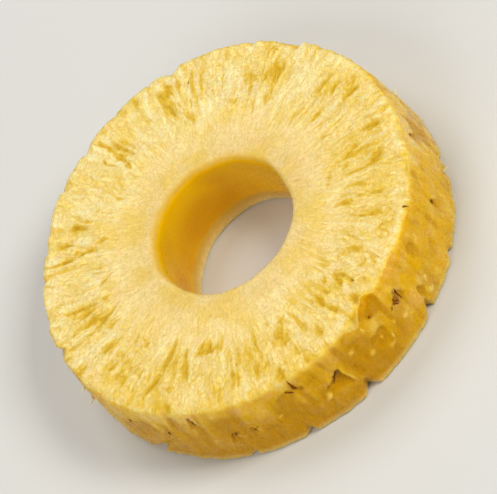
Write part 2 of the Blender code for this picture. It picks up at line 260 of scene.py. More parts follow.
# Hollows of the wall: angle, height, half width, half height, lean, depth, how warm.
WALL_HOLLOWS = (
    (281, 16.4, 3, 3.2, 0, 1, 1), (277.2, 9.3, 3.2, 3.6, 15, 0.9, 0.75),
    (301, 13.2, 2.6, 4, 0, 0.5, 0.6), (293.6, 5.7, 1.5, 3, 0, 0.9, 0.9),
    (266.6, 7.7, 1.2, 3.6, -10, 0.8, 0.75), (247, 13.2, 3, 2.8, 0, 0.45, 0.55),
    (238.5, 6.7, 3, 2.4, 20, 0.45, 0.5), (213, 15.2, 2, 3, 0, 0.5, 0.6),
    (326, 12.7, 2, 3.6, 0, 0.45, 0.6), (312, 9.7, 1.6, 4.2, 10, 0.35, 0.45),
    (341, 6.7, 1.6, 3.6, 0, 0.6, 0.6), (10, 13.7, 2.6, 2.6, 0, 0.6, 0.6),
    (61, 13.2, 2.8, 2.6, 0, 0.6, 0.6), (88, 7.7, 2.4, 3, 0, 0.5, 0.5),
    (112, 7.7, 2.6, 3.2, 0, 0.6, 0.6), (135, 14.7, 2.4, 2.4, 0, 0.6, 0.6),
    (160, 8.2, 2.6, 3, 0, 0.5, 0.5),
)

# Brown stains about the fibres: angle, height, half width, half height, lean.
WALL_STAINS = (
    (286.8, 12.1, 1.5, 1.5, 0), (252.2, 14.4, 0.9, 1, 0), (229.3, 9.9, 0.8, 0.8, 0),
    (197, 13, 0.8, 1.2, 0), (279, 15.4, 0.7, 0.7, 0), (209.2, 11.2, 0.7, 0.8, 0),
    (235.5, 9.7, 0.7, 0.8, 0), (317.8, 9.9, 0.6, 0.8, 0),
)

# Pale lumps that stand proud of the wall, their pale partly the flesh's own and partly a painted
# highlight: angle, height, half width, half height, rise.
WALL_LUMPS = (
    (256, 7.1, 1.4, 1, 0.45), (268.5, 12.9, 1.6, 1.4, 0.3), (272.5, 8.1, 1.8, 2.2, 0.3),
    (278, 5.5, 1.3, 1, 0.5), (282.2, 8.9, 1.1, 0.9, 0.4), (285.4, 7.3, 1.2, 1.1, 0.4),
    (295.6, 4.1, 1.3, 1, 0.5), (297.2, 6.9, 0.8, 0.7, 0.35), (304.2, 14.3, 0.7, 1.8, 0.3),
    (243, 9.7, 1.6, 1, 0.25), (222.5, 8.2, 1.4, 0.9, 0.25), (206, 13.2, 1.2, 1.8, 0.25),
    (322, 6.7, 0.9, 2.2, 0.25), (332.5, 9.7, 0.9, 2.4, 0.25),
)

# Small raised beads on the wall with a painted glint: angle, height, half width, half height.
PAINTED_GLINT_BEADS = (
    (303.2, 14, 0.55, 1.2), (296.2, 3.5, 1.1, 0.8), (279.4, 6.8, 0.5, 1.2), (274.8, 15, 0.5, 1),
    (256.8, 8, 1.2, 0.8), (277.2, 8.8, 0.9, 0.6),
)

# Single fibres in the scars: angle and height of the root, then of the thin end, thickness.
FIBRES = (
    # a small comb of teeth beside a bent stalk
    (288.4, 12.6, 288.8, 14.3, 0.55), (288.4, 12.8, 288.5, 10.4, 0.42),
    (286.3, 12.8, 287.1, 13.5, 0.3), (286.2, 12.8, 287.3, 11, 0.42),
    (285.5, 12.2, 286.8, 10.7, 0.45), (284.7, 12, 283.8, 11.2, 0.28),
    # the left edge of the largest scar
    (262.1, 11.6, 260.6, 10.4, 0.38), (260.9, 10.6, 259.2, 9.2, 0.3),
    # two strokes near the upper edge
    (251, 15.3, 250.7, 18, 0.8), (250.9, 15.7, 251.6, 14.5, 0.55),
    (248.7, 15.3, 250.1, 14.2, 0.5), (248.9, 15.2, 248.1, 15.7, 0.45),
)

# Tufts in the other scars: angle, height of the tip, strands, length, fan in degrees.
TUFTS = (
    (196.9, 13.3, 3, 1, 1), (219.4, 15.5, 3, 1.4, 0.9), (229, 10.1, 3, 1.3, 0.9),
    (209.2, 11.5, 2, 1.2, 0.9), (234.6, 9.7, 2, 1, 1), (317.8, 10.3, 3, 1.2, 1),
    (278.6, 15.7, 2, 0.8, 0.8), (337, 14.7, 2, 1, 0.8), (21, 13.1, 5, 2, 1.8),
    (46, 10.5, 4, 1.8, 1.4), (75, 13.1, 6, 2.2, 2.2), (99.6, 10.1, 4, 1.6, 1.4),
    (121, 13.5, 6, 2.4, 2.2), (145, 10.7, 4, 1.8, 1.4), (174, 12.9, 4, 1.8, 1.4),
    (352.6, 9.5, 3, 1.4, 1.2),
)

# Brown specks lying on the upper face: angle, radius, length, lean in degrees, thickness.
SPECKS = (
    (310.6, 44.4, 1, 25, 0.6), (285.2, 38.7, 1.2, 5, 0.28), (63.9, 39.7, 0.9, -20, 0.3),
    (237.1, 35.8, 0.7, 10, 0.22),
)

# Pale spines left on the rim: angle, height, length, sideways lean, upward lean.
SPINES = (
    (180.2, 16.9, 1.9, 24, -16), (182, 13.9, 2.3, 20, -16), (356.6, 9.5, 1.3, 28, 28),
    (331.2, 3.6, 1.7, 8, 20), (128, 12.7, 1.5, 10, 20),
)


# ---- small sums


def blend(low_value, high_value, share):
    """The value a share of the way from low to high."""
    return low_value + (high_value - low_value) * share


def smooth(start, end, value):
    """Zero at start, one at end, and a smooth rise between them."""
    share = np.clip((value - start) / (end - start), 0, 1)
    return share * share * (3 - 2 * share)


def angle_between(first, second):
    """Signed smallest turn from second to first, in degrees."""
    return (first - second + 180) % 360 - 180


def bump(distance):
    """One at distance 0, falling smoothly to nothing at distance 1."""
    return np.maximum(0, 1 - distance * distance) ** 2


def about(angle, place, half_width):
    """One at a place round the ring, falling smoothly to nothing at half a width from it."""
    return bump(angle_between(angle, place) / half_width)


def polar(angle, radius, height=0):
    """The place at an angle, a radius and a height."""
    turn = math.radians(angle)
    return Vector((math.cos(turn) * radius, math.sin(turn) * radius, height))


def noise_at(places):
    """Smooth noise, about -1 to 1, at each row of an array of places."""
    return np.array([noise.noise(place) for place in places.tolist()])


def round_places(angle, across, along):
    """Places for noise that closes on itself round the ring."""
    turn = np.radians(angle)
    along = along + np.zeros_like(turn)
    return np.stack([np.cos(turn) * across, np.sin(turn) * across, along], axis=1)


# ---- the plain ring


def corner(centre_radius, centre_height, rounding, start):
    """Points of a quarter turn at a corner, as (radius, height), from one direction on."""
    turns = [math.radians(start + 90 * step / CORNER_STEPS) for step in range(CORNER_STEPS + 1)]
    return [
        (centre_radius + rounding * math.cos(turn), centre_height + rounding * math.sin(turn))
        for turn in turns
    ]


def between(start, end, steps):
    """Points strictly between two points of the cross-section."""
    return [
        (blend(start[0], end[0], step / steps), blend(start[1], end[1], step / steps))
        for step in range(1, steps)
    ]


def cross_section():
    """The closed outline of the cut, counter-clockwise seen with the hole on the left."""
    hole, rim, top = HOLE_RADIUS_FOOT, RIM_RADIUS_FOOT, THICKNESS
    rim_foot = corner(rim - RIM_FOOT_ROUND, RIM_FOOT_ROUND, RIM_FOOT_ROUND, -90)
    rim_top = corner(rim - RIM_TOP_ROUND, top - RIM_TOP_ROUND, RIM_TOP_ROUND, 0)
    hole_top = corner(hole + HOLE_TOP_ROUND, top - HOLE_TOP_ROUND, HOLE_TOP_ROUND, 90)
    hole_foot = corner(hole + HOLE_FOOT_ROUND, HOLE_FOOT_ROUND, HOLE_FOOT_ROUND, 180)
    divide = (FACE_DIVIDE, top)
    outline = rim_foot + between(rim_foot[-1], rim_top[0], RIM_STEPS)
    outline += rim_top + between(rim_top[-1], divide, OUTER_FACE_STEPS)
    outline += [divide] + between(divide, hole_top[0], INNER_FACE_STEPS)
    outline += hole_top + between(hole_top[-1], hole_foot[0], HOLE_STEPS)
    return outline + hole_foot + between(hole_foot[-1], rim_foot[0], UNDERSIDE_STEPS)


def finished_mesh(mesh, name):
    """The bmesh as mesh data, with its faces pointing out."""
    bmesh.ops.recalc_face_normals(mesh, faces=mesh.faces)
    data = bpy.data.meshes.new(name)
    mesh.to_mesh(data)
    mesh.free()
    return data


def spun_ring(name):
    """The cross-section spun all the way round Z, as a mesh in millimetres."""
    mesh = bmesh.new()
    outline = [mesh.verts.new((radius, 0, height)) for radius, height in cross_section()]
    edges = [mesh.edges.new(pair) for pair in zip(outline, outline[1:] + outline[:1])]
    bmesh.ops.spin(
        mesh,
        geom=outline + edges,
        cent=(0, 0, 0),
        axis=(0, 0, 1),
        angle=math.tau,
        steps=SEGMENTS,
        use_merge=True,
    )
    return finished_mesh(mesh, name)


# ---- the form of the cut fruit


def nick_depth(nicks, angle, from_edge):
    """How far the V-shaped eye nicks cut into the rim at a distance from their edge."""
    depth = np.zeros_like(angle)
    for place, deepest, before, after, reach, lean in nicks:
        opening = np.clip(1 - from_edge / reach, 0, 1)
        turn = angle_between(angle, place + lean * from_edge)
        width = np.where(turn < 0, before, after) * np.sqrt(opening) + 1e-6
        depth = np.maximum(depth, deepest * opening * (1 - np.abs(turn) / width))
    return depth


def swelling(swells, angle, share):
    """Full and flat stretches at an angle, at a share of the way from the foot to the top."""
    total = np.zeros_like(angle)
    for place, top, foot, half_width in swells:
        total += blend(foot, top, share) * about(angle, place, half_width)
    return total


def rim_radius(angle, height):
    """The outer radius at an angle and a height."""
    share = height / THICKNESS
    radius = blend(RIM_RADIUS_FOOT, RIM_RADIUS_TOP, share) + RIM_BULGE * np.sin(math.pi * share)
    radius += OUTLINE_WAVE * noise_at(round_places(angle, OUTLINE_WAVES_PER_RADIUS, 0))
    coarse = noise_at(round_places(angle, 22, height / 9))
    fine = noise_at(round_places(angle, 46, height / 5 + 7))
    radius += COARSE_FRAY * coarse + FINE_FRAY * fine + swelling(RIM_SWELLS, angle, share)
    radius -= nick_depth(FOOT_NICKS, angle, height)
    return radius - nick_depth(TOP_NICKS, angle, THICKNESS - height)


def hole_radius(angle, height):
    """The radius of the cored hole, a little wider at the foot and not quite round."""
    share = height / THICKNESS
    wave = HOLE_WAVE * noise_at(round_places(angle, HOLE_WAVES_PER_RADIUS, 0))
    wave += HOLE_RIPPLE * noise_at(round_places(angle, 5, height / 12))
    radius = blend(HOLE_RADIUS_FOOT, HOLE_RADIUS_TOP, share) + wave
    return radius + swelling(HOLE_SWELLS, angle, share)


def face_wave(angle, radius):
    """Slow rise and fall of the upper face."""
    return FACE_WAVE * noise_at(round_places(angle, radius / FACE_WAVE_LENGTH, 0))


# ---- relief


class Skin:
    """One side of the ring laid out by angle and distance, with the relief pressed into it.

    Distance is the radius on a face and the height on a wall. Arm is the radius that turns
    degrees into millimetres, which on a face is the distance itself. The layout is bent by
    soft noise, by bend and a little more, so that nothing pressed in comes out straight.
    Depth is in millimetres, down into the flesh, and warm, pale and brown are shares of colour. On
    the upper face the brown share is painted olive, as painted shade in the creases.
    """

    def __init__(self, vertices, angle, distance, arm, places, bend):
        self.vertices = vertices
        self.arm = arm
        self.is_face = arm is distance
        self.places = places
        self.true_distance = distance
        self.order = np.argsort(angle)
        self.sorted_angle = angle[self.order]
        around = bend * self.cloud(5) + 0.2 * self.cloud(1.7, 9)
        self.angle = angle + np.degrees(around / arm)
        self.distance = distance + bend * self.cloud(5, 31) + 0.25 * self.cloud(1.7, 40)
        self.mottle = np.clip(0.95 + 0.6 * self.cloud(1.9, 55), 0.7, 1.2)
        self.depth, self.warm, self.pale, self.brown = np.zeros((4, len(angle)))

    def cloud(self, size, shift=0):
        """Noise of one size every way."""
        return noise_at(self.places / size + shift)

    def grain(self, across, along, shift=0):
        """Noise drawn out along the fibres; across and along are its size in millimetres."""
        reach = RIM_RADIUS_TOP / across
        return noise_at(round_places(self.angle, reach, self.distance / along + shift))

    def about(self, place, half_width):
        """One at a place round the ring, falling to nothing at half a width from it."""
        return about(self.angle, place, half_width)

    def near(self, place, turn):
        """The vertices at most a turn in degrees from an angle."""
        picked = []
        for shift in (-360, 0, 360):
            ends = (place + shift - turn, place + shift + turn)
            first, last = np.searchsorted(self.sorted_angle, ends)
            picked.append(self.order[first:last])
        return np.concatenate(picked)

    def across(self, found, place):
        """How far each of the vertices found lies round the ring from an angle."""
        return np.radians(angle_between(self.angle[found], place)) * self.arm[found]

    def press(self, place, distance, half_width, half_length, lean=0):
        """The vertices under an oval stamp, and how strongly it presses on each."""
        reach = max(half_width, half_length) + STAMP_MARGIN
        arm = distance if self.is_face else self.arm[0]
        found = self.near(place, math.degrees(reach / arm))
        across = self.across(found, place)
        along = self.distance[found] - distance
        cosine, sine = math.cos(math.radians(lean)), math.sin(math.radians(lean))
        sideways = (across * cosine - along * sine) / half_width
        lengthways = (across * sine + along * cosine) / half_length
        strength = bump(np.hypot(sideways, lengthways))
        inside = strength > 0
        return found[inside], strength[inside]

    def stamp(self, oval, depth=0, warm=0, pale=0, brown=0):
        """Press an oval and add to the depth and the colours under it."""
        found, strength = self.press(*oval)
        self.depth[found] += depth * strength
        self.warm[found] += warm * strength
        self.pale[found] += pale * strength
        self.brown[found] += brown * strength

    def cut_slot(self, wide_angle, wide, narrow_angle, narrow, half_width, deepest, steep):
        """A slot that narrows from one end to the other, with a pale lip on its steep side; the
        lip's pale is a painted highlight and the crease has a painted shadow line.
        """
        middle = (wide_angle + narrow_angle) / 2
        found = self.near(middle, abs(wide_angle - narrow_angle) + SLOT_MARGIN)
        share = (wide - self.distance[found]) / (wide - narrow)
        centre = blend(wide_angle, narrow_angle, np.clip(share, -0.1, 1.1))
        across = self.across(found, centre)
        across /= half_width * blend(1.2, 0.5, np.clip(share, 0, 1))
        if steep:
            across *= np.where(across * steep > 0, 1.6, 0.75)
        ends = smooth(-0.08, 0.25, share) * smooth(1.1, 0.5, share)
        body = np.exp(-np.abs(across) ** 1.5) * ends * self.mottle[found]
        crease = np.exp(-(across / 0.5) ** 2) * ends * self.mottle[found]
        basin = np.exp(-(across / 2.6) ** 2) * ends
        lip = np.exp(-((np.abs(across) - 2) / 0.7) ** 2) * ends
        if steep:
            lip *= across * steep > 0
        bowl = 0.36 * body + 0.34 * crease + 0.12 * basin - 0.16 * lip
        self.depth[found] += deepest * bowl
        self.warm[found] += (0.28 + 0.5 * deepest) * body + 0.28 * basin
        # Painted shadow line: the crease's brown share, olive on the face. Painted highlight: the
        # lip's pale share.
        self.brown[found] += (0.12 + 0.45 * deepest) * crease
        self.pale[found] += 0.4 * lip

    def press_tent(self, tip_angle, tip, foot_angle, foot, half_width, deepest):
        """A scar deep under its crisp tip that rises to the wall at its wide, open foot."""
        arm = self.arm[0]
        run = math.radians(angle_between(foot_angle, tip_angle)) * arm
        length = math.hypot(run, foot - tip)
        aside, down = run / length, (foot - tip) / length
        found = self.near(tip_angle, math.degrees((length + half_width) / arm))
        across = self.across(found, tip_angle)
        below = self.distance[found] - tip
        share = (across * aside + below * down) / length
        sideways = across * down - below * aside
        off = np.abs(sideways) - 0.4 - (half_width - 0.4) * np.maximum(share, 0)
        ends = smooth(-0.12, 0.02, share) * smooth(1.15, 0.7, share)
        inside = smooth(0.15, -0.2, off) * ends
        fall = np.clip(1 - share, 0, 1)
        lip = np.exp(-((off - 0.45) / 0.3) ** 2) * ends * (sideways < 0)
        edge = np.exp(-((off + 0.3) / 0.25) ** 2) * ends * (sideways > 0)
        self.depth[found] += deepest * ((0.3 + 0.7 * fall) * inside - 0.15 * lip)
        self.warm[found] += 0.5 * inside
        # Painted highlight: the lip's pale, less warm colour. The brown along the other edge is
        # partly the scar's own brown and partly painted shade.
        self.pale[found] += 0.5 * lip
        self.warm[found] *= 1 - 0.7 * lip
        tip_brown = 0.8 * smooth(0.3, 0.95, fall) * inside
        self.brown[found] += (0.1 * inside + tip_brown + 0.45 * edge) * min(deepest, 1)


def pillows(skin, across, along, height, share, shift):
    """Puffy lumps that meet in creases; the creases are warm and the lumps' tops pale, partly as
    painted shade in the creases and painted light on the tops.
    """
    swell = np.abs(skin.grain(across, along, shift))
    rounded = np.minimum(swell / 0.28, 1) ** 0.65
    skin.depth += height * share * (1 - rounded)
    skin.warm += 0.9 * height * share * np.exp(-(swell / 0.07) ** 2)
    skin.pale += 0.5 * height * share * smooth(0.15, 0.4, swell)


def cut_small_slots(skin):
    """Slighter slots between the large ones, where the cut only grazed the eyes."""
    draw = random.Random(11)
    for _ in range(SMALL_SLOTS):
        place = draw.uniform(0, 360)
        wide = draw.uniform(30, 43.5)
        narrow = wide - draw.uniform(1.8, 5.5)
        half_width = draw.uniform(0.28, 0.6)
        deepest = draw.uniform(0.06, 0.24)
        turned = place + draw.gauss(0, 1.4)
        skin.cut_slot(place, wide, turned, narrow, half_width, deepest, draw.choice((-1, 0, 1)))


def press_dashes(skin):
    """Short fine furrows that run out from the core."""
    draw = random.Random(7)
    for _ in range(DASHES):
        place = draw.uniform(0, 360)
        distance = math.sqrt(draw.uniform(24 ** 2, 44 ** 2))
        half_length = 0.5 + 4.6 * draw.random() ** 2
        half_width = draw.uniform(0.22, 0.42)
        depth = draw.uniform(0.03, 0.14)
        oval = (place, distance, half_width, half_length, draw.gauss(0, 16))
        skin.stamp(oval, depth, warm=3.4 * depth)


def press_ridges(skin):
    """Pale bundles of fibre that stand a little proud."""
    draw = random.Random(8)
    for _ in range(RIDGES):
        place = draw.uniform(0, 360)
        distance = draw.uniform(22, 44)
        half_length = draw.uniform(1.2, 4)
        half_width = draw.uniform(0.35, 0.9)
        height = draw.uniform(0.03, 0.12)
        oval = (place, distance, half_width, half_length, draw.gauss(0, 9))
        skin.stamp(oval, -height, pale=3 * height)


def press_dots(skin):
    """Tiny sunken dots where single fibres were cut across."""
    draw = random.Random(9)
    for _ in range(DOTS):
        place = draw.uniform(0, 360)
        distance = draw.uniform(18, 31)
        size = draw.uniform(0.35, 0.6)
        oval = (place, distance, size, size * draw.uniform(1, 1.8))
        skin.stamp(oval, 0.1, warm=draw.uniform(0.15, 0.45), brown=0.2)


def raise_beads(skin):
    """Small plump cells that catch the light, mostly half-way up the wall."""
    draw = random.Random(13)
    for _ in range(BEADS):
        place = draw.uniform(0, 360)
        height = draw.gauss(7.5, 3.5)
        size = draw.uniform(0.45, 0.95)
        rise = draw.uniform(0.06, 0.2)
        oval = (place, height, size, size * draw.uniform(0.8, 1.8))
        # Painted highlight: the pale share on each bead.
        skin.stamp(oval, -rise, pale=1.5 * rise)


def press_vessel(skin, place, distance, size, strong):
    """The round end of a cut vessel: a pale raised ring about a dimple."""
    found, strength = skin.press(place, distance, size, size)
    ring = strength * (1 - strength) * 4
    skin.depth[found] += strong * (0.12 * strength ** 4 - 0.08 * ring)
    skin.pale[found] += strong * 0.45 * ring
    skin.warm[found] += strong * (0.5 * strength ** 4 + 0.15 * (strength < 0.2))


def press_vessels(skin):
    """The vessels in their table, and smaller ones scattered between them."""
    for vessel in VESSELS:
        press_vessel(skin, *vessel, 1)
    draw = random.Random(5)
    for _ in range(SMALL_VESSELS):
        size = draw.uniform(0.5, 0.8)
        press_vessel(skin, draw.uniform(0, 360), draw.uniform(21, 43), size, 0.6)


def upper_face_relief(skin):
    """Everything pressed into the upper face, gentle by the core and strong by the rim."""
    radius = skin.true_distance
    outer = smooth(22, 33, radius)
    patchy = np.clip(0.65 + 1.1 * skin.cloud(7, 3), 0.15, 1.3)
    pillows(skin, 5, 12, 0.16, outer * patchy, 0)
    pillows(skin, 2.4, 6, 0.12, blend(0.3, 1, outer) * patchy, 17)
    pillows(skin, 1.2, 3.2, 0.08, blend(0.45, 1, outer), 35)
    skin.depth += 0.08 * skin.cloud(3.4, 60)
    strokes = skin.grain(1.5, 8, 44)
    skin.depth -= 0.06 * outer * patchy * strokes
    skin.warm += 0.55 * outer * patchy * smooth(0.12, 0.5, -strokes)
    skin.pale += 0.45 * outer * smooth(0.1, 0.45, strokes)
    wrinkles = skin.grain(0.8, 3.4, 52)
    skin.depth -= 0.03 * wrinkles
    skin.warm += 0.15 * smooth(0.1, 0.5, -wrinkles)
    skin.pale += 0.2 * smooth(0.1, 0.45, wrinkles)

    # Painted shade: the near side of the face and a band along its rim are made warmer and darker.
    near_side = smooth(0.4, -0.4, np.sin(np.radians(skin.angle)))
    skin.warm += 0.24 * near_side * smooth(22, 34, radius) + 0.15 * smooth(42, 45, radius)
    scribbles = np.abs(skin.cloud(1.25, 80))
    threads = np.exp(-(scribbles / 0.12) ** 2)
    for *oval, warm, dip in FACE_PATCHES:
        found, strength = skin.press(*oval)
        skin.warm[found] += warm * strength * (0.45 + 0.75 * threads[found])
        skin.depth[found] += 0.6 * dip * strength
    for *oval, light in FACE_LIGHTS:
        found, strength = skin.press(*oval)
        skin.pale[found] += light * strength
        skin.warm[found] *= 1 - light * strength
    for slot in FACE_SLOTS:
        skin.cut_slot(*slot)
    press_vessels(skin)
    cut_small_slots(skin)
    press_dashes(skin)
    press_ridges(skin)
    press_dots(skin)

    busy = outer * blend(0.45, 1, smooth(0.15, 0.6, skin.warm))
    skin.depth += 0.09 * busy * (1 - np.minimum(scribbles / 0.25, 1))
    skin.warm += 0.2 * busy * threads
    skin.pale += 0.35 * busy * smooth(0.22, 0.5, scribbles)


def under_face_relief(skin):
    """The lower cut, pressed flat by the ring's own weight."""
    skin.depth += 0.05 * np.maximum(0, skin.grain(2.6, 6, 4))
    skin.warm += 0.3 * smooth(0.1, 0.6, skin.cloud(6, 12))
    skin.pale += 0.2 * smooth(0, 0.5, skin.grain(2, 8, 8))


def gold_band(skin, place, half_width):
    """How much of the golden band under the upper edge is there, about one place."""
    from_middle = (skin.true_distance - GOLD_BAND_HEIGHT) / GOLD_BAND_REACH
    return bump(from_middle) * skin.about(place, half_width)


def shade_wall(skin):
    """Broad lumps and bundles of the wall, and where it is golden or pale."""
    height = skin.true_distance
    broad = skin.cloud(7)
    bundles = skin.grain(2.2, 16, 11)
    skin.depth += 0.32 * broad + 0.08 * skin.cloud(3, 5) - 0.13 * bundles
    skin.warm += 0.7 * smooth(0, 0.5, broad) + 0.5 * smooth(0.05, 0.5, -bundles)
    # Warmer towards the foot. Painted shade: warmer and darker about 270, and about 225 lower
    # down.
    skin.warm += 0.35 * smooth(16, 2, height) + 0.25 * skin.about(270, 30)
    skin.warm += 0.5 * smooth(19, 10, height) * skin.about(225, 60)
    # Painted light: less warm about 318, paler and less warm high up about 212 and 331, and paler
    # about 346.
    skin.warm *= 1 - 0.5 * skin.about(318, 45)
    upper = smooth(12, 17, height)
    skin.warm *= 1 - 0.4 * upper * skin.about(212, 25)
    skin.warm += 0.25 * gold_band(skin, 306, 20) + 0.2 * gold_band(skin, 266, 26)
    skin.pale += upper * (0.75 * skin.about(212, 25) + 0.5 * skin.about(331, 18))
    skin.pale += 0.6 * skin.about(346, 20) + 0.5 * smooth(0.1, 0.5, -skin.cloud(4.5, 45))
    strands = skin.grain(0.9, 6, 75)
    skin.depth -= 0.02 * strands
    skin.pale += 0.2 * smooth(0.15, 0.5, strands)
    pillows(skin, 4, 9, 0.18, 1, 2)
    pillows(skin, 1.8, 4, 0.09, np.clip(0.5 + skin.cloud(5, 22), 0, 1), 33)


def raise_lump(skin, broken, oval, rise, pale, cooling):
    """A ragged pale lump on the wall that covers what is warm under it."""
    found, strength = skin.press(*oval)
    strength = strength * smooth(-0.1, 0.7, broken[found] + strength)
    skin.depth[found] -= rise * strength
    skin.pale[found] += pale * strength
    skin.warm[found] *= 1 - cooling * strength


def wall_relief(skin):
    """Lumps, flutes, scars and hollows of the peeled wall."""
    shade_wall(skin)
    ragged = skin.cloud(1.8, 64)
    for *oval, depth, warm in WALL_HOLLOWS:
        found, strength = skin.press(*oval)
        torn = smooth(0.1, 0.6, strength + 0.6 * ragged[found]) * smooth(0, 0.15, strength)
        rise = (skin.distance[found] - oval[1]) / oval[3]
        torn *= np.clip(0.6 + 0.5 * rise, 0.1, 1)
        skin.depth[found] += 0.6 * depth * torn
        skin.warm[found] += warm * torn
    broken = skin.cloud(1.2, 90)
    for *oval, rise in WALL_LUMPS:
        raise_lump(skin, broken, oval, 0.7 * rise, 0.6, 0.8)
    skin.pale *= 1 - 0.8 * gold_band(skin, 266, 26)
    raise_beads(skin)
    for tent in WALL_TENTS:
        skin.press_tent(*tent)
    for stain in WALL_STAINS:
        found, strength = skin.press(*stain)
        skin.brown[found] += smooth(0.2, 0.9, strength + 0.4 * broken[found])
    # Painted glints on small raised beads.
    for bead in PAINTED_GLINT_BEADS:
        raise_lump(skin, broken, bead, 0.15, 1.2, 1)


def hole_relief(skin):
    """The smooth bore that the corer leaves, with faint ripples."""
    height = skin.true_distance
    skin.depth += 0.1 * skin.cloud(4) + 0.03 * skin.grain(1.6, 9, 5)
    # Painted shade: the bore is warmer and darker part-way down, less so about 32 and 140, at the
    # foot and at the top.
    shade = 0.5 - 0.42 * skin.about(32, 55) - 0.2 * skin.about(140, 50)
    shade *= blend(0.1, 1, smooth(1, 6, height)) * smooth(18, 8, height)
    skin.warm += shade + 0.15 * smooth(0, 0.5, skin.cloud(6, 9))


# ---- the ring


def vertex_values(mesh, name):
    """One of a mesh's vertex properties, as rows of three numbers."""
    values = np.zeros(len(mesh.vertices) * 3)
    mesh.vertices.foreach_get(name, values)
    return values.reshape(-1, 3)


def keep_attribute(mesh, name, values):
    """Store a number from 0 to 1 on each vertex for the material to read."""
    attribute = mesh.attributes.new(name, "FLOAT", "POINT")
    attribute.data.foreach_set("value", np.clip(values, 0, 1).astype(np.float32))


def side_skins(angle, radius, height, weights):
    """The skins of the two faces and the two walls."""
    places = round_places(angle, radius, height)
    arms = {"wall": RIM_RADIUS_TOP, "hole": HOLE_RADIUS_TOP}
    skins = {}
    for name, weight in weights.items():
        found = np.nonzero(weight > LEAST_WEIGHT)[0]
        if name in arms:
            distance = height[found]
            arm = np.full(len(found), arms[name])
            bend = WALL_BEND
        else:
            distance = arm = radius[found]
            bend = FACE_BEND
        skins[name] = Skin(found, angle[found], distance, arm, places[found], bend)
    return skins


def keep_sides(mesh, angle, radius, height, rim, hole):
    """Store how much of each vertex is the rim's golden side and how much is the bore."""
    ragged = 0.7 * noise_at(round_places(angle, 9, height / 3))
    ragged += 0.5 * noise_at(round_places(angle, 24, height / 2))
    past_rim = radius - rim + 1.2 + ragged
    past_top = past_rim + THICKNESS - height + 0.3
    for place, shift, half_width in EDGE_SHIFTS:
        past_top += shift * about(angle, place, half_width)
    soft = 0.55 + 0.95 * about(angle, 236, 42) + 0.75 * about(angle, 325, 45)
    soft += 0.9 * about(angle, 264, 18)
    near_top = smooth(1.5 - 0.5 * soft, 1.5 + 1.6 * soft, past_top)
    keep_attribute(mesh, "side", near_top * smooth(0, 2, past_rim + height))

    # Painted bounce light and shade of the bore: on the far side its gold begins about 4 mm out on
    # the upper face, on the near side at the edge.
    far = smooth(-0.4, 0.4, np.sin(np.radians(angle)))
    past_edge = 0.15 * ragged + THICKNESS - height - (radius - hole)
    past_hole = hole - radius + 2 + 0.5 * ragged
    core = smooth(blend(0, -4.2, far), blend(2.6, 1.6, far), past_edge)
    core *= smooth(-0.5, 5, height) * smooth(-2.5 * far, 2, past_hole)
    keep_attribute(mesh, "core", core)


def shape_ring(mesh):
    """Move a plain spun ring's vertices to the form and relief of the fruit."""
    plain = vertex_values(mesh, "co")
    facing = vertex_values(mesh, "normal")
    radius = np.hypot(plain[:, 0], plain[:, 1])
    height = plain[:, 2]
    angle = np.degrees(np.arctan2(plain[:, 1], plain[:, 0])) % 360
    outward = (facing[:, 0] * plain[:, 0] + facing[:, 1] * plain[:, 1]) / radius

    rim = rim_radius(angle, height)
    hole = hole_radius(angle, height)
    share = (radius - HOLE_RADIUS_FOOT) / (RIM_RADIUS_FOOT - HOLE_RADIUS_FOOT)
    radius = blend(hole, rim, share)
    weights = {
        "upper": np.maximum(0, facing[:, 2]),
        "lower": np.maximum(0, -facing[:, 2]),
        "wall": np.maximum(0, outward),
        "hole": np.maximum(0, -outward),
    }
    skins = side_skins(angle, radius, height, weights)
    upper_face_relief(skins["upper"])
    under_face_relief(skins["lower"])
    wall_relief(skins["wall"])
    hole_relief(skins["hole"])

    moves = {name: np.zeros_like(radius) for name in weights}
    colours = {name: np.zeros_like(radius) for name in ("warm", "pale", "brown")}
    for name, skin in skins.items():
        weight = weights[name][skin.vertices]
        moves[name][skin.vertices] = skin.depth * weight
        for colour in colours:
            colours[colour][skin.vertices] += getattr(skin, colour) * weight
    colours["warm"] /= WARM_RANGE
    keep_sides(mesh, angle, radius, height, rim, hole)
    for colour, values in colours.items():
        keep_attribute(mesh, colour, values)

    height = height * (THICKNESS + face_wave(angle, radius)) / THICKNESS
    height = np.maximum(height + moves["lower"] - moves["upper"], 0)
    radius = radius + moves["hole"] - moves["wall"]
    placed = round_places(angle, radius, height) * MM
    mesh.vertices.foreach_set("co", placed.astype(np.float32).ravel())


# ---- fibres and spines


class Surface:
    """The finished ring, asked for places on it or lifted some millimetres off it."""

    def __init__(self, data):
        mesh = bmesh.new()
        mesh.from_mesh(data)
        self.tree = BVHTree.FromBMesh(mesh)
        mesh.free()

    def struck(self, start, ahead, lift):
        """The place that a ray from start strikes, in metres."""
        return self.tree.ray_cast(start * MM, ahead)[0] - ahead * lift * MM

    def on_wall(self, angle, height, lift):
        """The place on the wall at an angle and a height."""
        return self.struck(polar(angle, RAY_START, height), -polar(angle, 1), lift)

    def on_face(self, angle, radius):
        """The place on the upper face at an angle and a radius."""
        return self.struck(polar(angle, radius, RAY_START), Vector((0, 0, -1)), 0)


